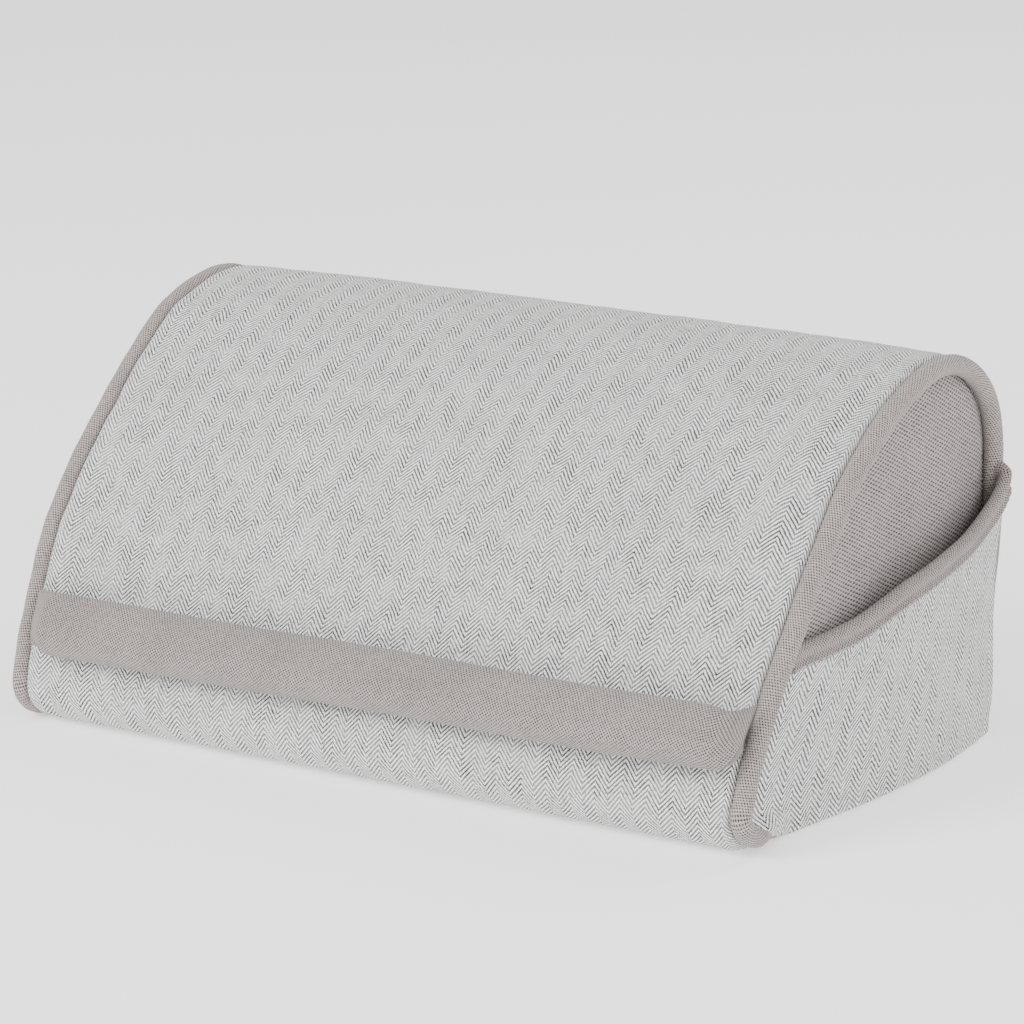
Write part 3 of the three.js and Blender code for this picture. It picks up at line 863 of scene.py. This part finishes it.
FOOT_TURN = 2.0  # the radius that the cloth turns under with
HEM = 2.5
BINDING_SECTION = [
    (-2.4, 6.6), (-2.7, 4.4), (-2.6, 2.0), (-2.2, 0.2), (-1.1, -1.0), (0.4, -1.2), (1.6, -0.5),
    (2.2, 0.8), (2.0, 2.1), (1.2, 3.2), (0.7, 4.0), (0.95, 4.9), (1.5, 5.7), (1.5, 6.6), (0.8, 7.1),
    (0.15, 7.0), (0.12, 4.4), (0.1, 1.2), (-0.6, 0.7), (-1.35, 1.2), (-1.4, 4.4), (-1.4, 6.5),
]
STITCH_ROW_DOWN = 6.1  # from the mouth's edge
STITCH_ROW_OUT = 1.62  # from the pocket's face


def front_seam_y(height):
    """Where the pocket's front edge meets the inside of the piping, at some height."""
    return np.interp(height, FACE_EDGE[:, 1], FACE_EDGE[:, 0])


def back_seam_y(height):
    """The same for its back edge, which climbs onto the piping towards the mouth."""
    return BACK_Y - SIDE_INSET - 3.0 * (1 - ramp(6, 14, height)) + 3.8 * ramp(62, 94, height)


def pocket_point(share, height):
    """A point of the pocket's outer face: share runs from its front seam to its back seam."""
    front, back = front_seam_y(height), back_seam_y(height)
    y = front + (back - front) * share
    plan = np.interp(y, *POCKET_SMOOTH.T)
    plan += POCKET_FLARE * ramp(30, 90, height) * ramp(50, 84, y)
    back_tuck = 6 - 2.4 * ramp(62, 94, height)
    tuck = ramp(-2, 16, y - front) * ramp(-1, back_tuck, back - y)
    wall = POCKET_SEAM_X + float(bow(height, 1))
    x = wall + max(plan - wall, 0) * tuck
    over_piping = POCKET_FOOT_X - POCKET_FOOT_DRAW * ramp(-70, -58, y)
    x += max(over_piping - x, 0) * (1 - ramp(7, 13, height)) * ramp(-84, -76, y)
    slack = waves(y * 0.8, height * 0.5, 5) * ramp(0, 20, y - front) * ramp(4, 25, height)
    return np.array([x + POCKET_SLACK * slack, y, height])


def mouth_point(share, drop=0.0):
    """A point of the mouth's edge, or of the face some way below it."""
    height = 70.0
    # The seams slant, so y and the height settle together in a few rounds.
    for _ in range(6):
        y = pocket_point(share, height)[1]
        height = float(np.interp(y, *MOUTH_SMOOTH.T)) - drop
    return pocket_point(share, height)


def add_pocket():
    shares = np.linspace(0, 1, 130)
    wall = np.zeros((60, len(shares), 3))
    for c, share in enumerate(shares):
        y = pocket_point(share, 10.0)[1]
        low = float(np.interp(y, *POCKET_FOOT.T)) + FOOT_TURN
        top = mouth_point(share)[2] - 0.8
        for r, height in enumerate(np.linspace(low, top, len(wall))):
            wall[r, c] = pocket_point(share, height)
    under = []
    for angle in np.radians(np.linspace(0, 75, 6)):
        foot = wall[0].copy()
        foot[:, 0] -= FOOT_TURN * (1 - math.sin(angle))
        foot[:, 2] -= FOOT_TURN * math.cos(angle)
        under.append(foot)
    hem = under[0].copy()
    hem[:, 0] -= HEM
    grid = np.concatenate([[hem], under, wall])
    cloth = np.zeros((*grid.shape[:2], 2))
    cloth[..., 0] = POCKET_CLOTH_START + distances(wall[len(wall) // 2])
    cloth[..., 1] = grid[..., 2]
    cloth[0, :, 1] -= HEM
    piece = cloth_panel("pocket_cloth", grid, cloth, POCKET_HERRINGBONE)
    declare_sheet(piece, "pocket_panel", "herringbone", (0.175, 0.085), rests_on="right_side_cloth")


def add_binding():
    # The rings draw together towards the back, where the mouth turns sharply.
    shares = 0.004 + 0.992 * (1 - np.linspace(1, 0, 190) ** 1.5)
    edge = np.array([mouth_point(share) for share in shares])
    below = np.array([mouth_point(share, 6.0) for share in shares])
    down = calm(below - edge, 7)
    along = unit(calm(np.gradient(edge, axis=0), 7))
    down = unit(down - along * (down * along).sum(1, keepdims=True))
    outward = np.cross(down, along)
    outward *= np.sign(outward[:, :1])
    section = spline(BINDING_SECTION, 61, closed=True)[:-1]
    across = outward[:, None] * section[None, :, :1]
    rings = edge[:, None] + across + down[:, None] * section[None, :, 1:]
    piece = loft("mouth_binding", rings, TRIM)
    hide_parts("pocket_binding")
    row = edge + down * STITCH_ROW_DOWN + outward * STITCH_ROW_OUT
    sewn = stitches("binding_stitches", row, outward, THREAD)


# ---------------------------------------------------------------- zip

COIL_TURNS = 188
TURN_STEPS = 12
COIL_OFFSET = 1.25  # from the zip's middle to the middle of one coil
COIL_SIZE = (0.38, 0.85)  # half its depth and half its height
COIL_WIRE = 0.26
ZIP_STITCH_Y = 88.35
ZIP_STITCH_OFFSET = 8.6


def add_tape(name, side):
    rows = np.linspace(0.15, TAPE_REACH, 9)
    columns = np.linspace(-ZIP_HALF, ZIP_HALF, 126)
    grid = np.zeros((len(rows), len(columns), 3))
    grid[..., 0] = columns[None, :]
    grid[..., 1] = TAPE_Y - 0.5 * ramp(5.5, 8.5, rows)[:, None]
    grid[..., 2] = ZIP_Z + side * rows[:, None]
    cloth = np.stack([grid[..., 0], grid[..., 2]], -1)
    piece = cloth_panel(
        f"zip_tape_{name}_cloth", soften(grid), cloth, TAPE, thickness=TAPE_THICKNESS, outward=side
    )
    declare_sheet(piece, f"zip_tape_{name}", "zip_tape", (2 * ZIP_HALF * MM, TAPE_REACH * MM))


def add_coil(name, side):
    count = COIL_TURNS * TURN_STEPS + 1
    turn = np.arange(count) / TURN_STEPS * 2 * math.pi
    depth, height = COIL_SIZE
    path = np.zeros((count, 3))
    path[:, 0] = np.linspace(0.4 - COIL_HALF_LENGTH, COIL_HALF_LENGTH - 0.4, count)
    path[:, 1] = COIL_Y + depth * np.cos(turn)
    path[:, 2] = ZIP_Z + side * (COIL_OFFSET + height * np.sin(turn))
    piece = tube(f"zip_coil_{name}_teeth", soften(path), COIL_WIRE, 6, NYLON)
    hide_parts(f"zip_coil_{name}")


def add_tape_stitches(name, side):
    line = np.zeros((60, 3))
    line[:, 0] = np.linspace(2 - ZIP_HALF, ZIP_HALF - 2, len(line))
    line[:, 1] = ZIP_STITCH_Y
    line[:, 2] = ZIP_Z + side * ZIP_STITCH_OFFSET
    outward = np.tile([0.0, 1.0, 0.0], (len(line), 1))
    sewn = stitches(f"zip_stitches_{name}", soften(line), outward, THREAD)


def add_zip():
    for name, side in (("lower", -1), ("upper", 1)):
        add_tape(name, side)
        add_coil(name, side)
        add_tape_stitches(name, side)


def bevelled(node, body, width):
    """A copy of a metal piece with its edges rounded."""
    source = bpy.data.objects[node]
    piece = source.copy()
    piece.data = source.data.copy()
    piece.name = f"{node}_rounded"
    bpy.context.collection.objects.link(piece)
    weld = piece.modifiers.new("weld", "WELD")
    weld.merge_threshold = 1e-5
    bevel = piece.modifiers.new("bevel", "BEVEL")
    bevel.width = width * MM
    bevel.segments = 3
    bevel.limit_method = "ANGLE"
    piece.data.materials.clear()
    piece.data.materials.append(METAL)
    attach(piece, body)
    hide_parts(node)


def add_zip_metal():
    bevelled("zip_slider", "slider", 0.28)
    bevelled("zip_pull", "pull", 0.2)
    bevelled("zip_stop_left", CUSHION, 0.35)
    bevelled("zip_stop_right", CUSHION, 0.35)


# ---------------------------------------------------------------- floor, light, camera, in metres

FLOOR_REACH = 8.0
LIGHT_AIM = Vector((0.0, 0.0, 0.06))
LIGHTS = {  # where each stands, the width of its disk, and its power in watts
    "key": ((-0.9, -1.8, 1.5), 1.2, 58.0),
    "fill": ((1.9, -1.0, 1.0), 1.4, 24.0),
    "back": ((0.6, 1.6, 1.6), 1.2, 14.0),
}
SKY_STRENGTH = 0.95
CAMERA_PLACE = (0.65665, -1.00497, 0.37601)
CAMERA_RIGHT = Vector((0.84025, 0.54210, -0.01027))
CAMERA_DOWN = Vector((0.12315, -0.20925, -0.97008))
CAMERA_FORWARD = Vector((-0.52803, 0.81384, -0.24258))
SENSOR_WIDTH = 36.0
FOCAL_LENGTH = 125.2165


def add_floor():
    reach = FLOOR_REACH
    corners = [(-reach, -reach, 0), (reach, -reach, 0), (reach, reach, 0), (-reach, reach, 0)]
    mesh = bpy.data.meshes.new("floor")
    mesh.from_pydata(corners, [], [(0, 1, 2, 3)])
    floor = bpy.data.objects.new("floor", mesh)
    bpy.context.collection.objects.link(floor)
    mesh.materials.append(glowing_paper("floor_paper", (0.96, 0.96, 0.96), 0.7))


def add_studio():
    world = bpy.data.worlds.new("studio")
    bpy.context.scene.world = world
    world.use_nodes = True
    sky = world.node_tree.nodes["Background"]
    sky.inputs["Color"].default_value = (1.0, 1.0, 1.0, 1.0)
    sky.inputs["Strength"].default_value = SKY_STRENGTH
    for name, (place, size, power) in LIGHTS.items():
        data = bpy.data.lights.new(name, "AREA")
        data.shape = "DISK"
        data.size = size
        data.energy = power
        lamp = bpy.data.objects.new(name, data)
        bpy.context.collection.objects.link(lamp)
        lamp.location = place
        lamp.rotation_euler = (LIGHT_AIM - Vector(place)).to_track_quat("-Z", "Y").to_euler()


def add_camera():
    data = bpy.data.cameras.new("camera")
    data.sensor_width = SENSOR_WIDTH
    data.lens = FOCAL_LENGTH
    data.clip_start = 0.05
    camera = bpy.data.objects.new("camera", data)
    bpy.context.collection.objects.link(camera)
    turn = Matrix((CAMERA_RIGHT, -CAMERA_DOWN, -CAMERA_FORWARD)).transposed().to_4x4()
    camera.matrix_world = Matrix.Translation(CAMERA_PLACE) @ turn
    bpy.context.scene.camera = camera


# ---------------------------------------------------------------- the whole

add_camera()
add_studio()
add_floor()
add_foam()
add_front()
add_back()
add_base()
add_sides()
add_piping()
add_ledge()
add_pocket()
add_binding()
add_zip()
add_zip_metal()
